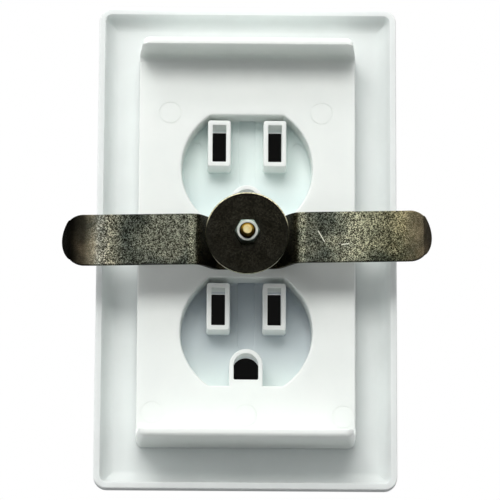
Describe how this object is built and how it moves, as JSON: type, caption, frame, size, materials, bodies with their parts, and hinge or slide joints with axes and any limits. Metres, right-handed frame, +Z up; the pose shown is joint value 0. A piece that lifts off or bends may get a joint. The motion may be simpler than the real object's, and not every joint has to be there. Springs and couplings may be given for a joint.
{
  "type": "imitation outlet wall cover with turn latch",
  "caption": "Dish-shaped wall plate carrying a dummy duplex receptacle insert, held in a wall cut-out by a sprung turn-latch strap on a centre screw.",
  "frame": {"origin": "on the latch screw's axis, in the wall surface that the plate's rim rests on", "axes": "+Z up on the wall, -Y towards the room (the visible front), +Y into the wall, +X to the right seen from the room"},
  "size_m": [0.085, 0.0297, 0.1144],
  "materials": {
    "plate_plastic": "glossy white moulded plastic",
    "insert_plastic": "glossy white moulded plastic",
    "screw_brass": "bright brass",
    "bearing_steel": "plain zinc-plated steel",
    "strap_steel": "nickel-plated spring steel with a pebbled, yellowish grain",
    "spring_steel": "bright spring wire",
    "washer_steel": "dark mirror-bright nickel plate",
    "nut_steel": "bright zinc plate"
  },
  "bodies": {
    "cover": {"wall_plate": "plate_plastic", "receptacle_insert": "insert_plastic"},
    "latch": {"latch_screw": "screw_brass", "bearing_washer": "bearing_steel", "latch_spring": "spring_steel", "retaining_washer": "washer_steel", "hex_nut": "nut_steel"},
    "strap": {"latch_strap": "strap_steel"}
  },
  "joints": [
    {"name": "latch_turn", "type": "hinge", "parent": "cover", "child": "latch", "pos_m": [0, 0, 0], "axis": [0, 1, 0], "continuous": true},
    {"name": "strap_slide", "type": "slide", "parent": "latch", "child": "strap", "axis": [0, 1, 0], "range_m": [0, 0.003], "stiffness_N_per_m": 1500, "springref_m": -0.006, "deforming": ["latch_spring"]}
  ]
}
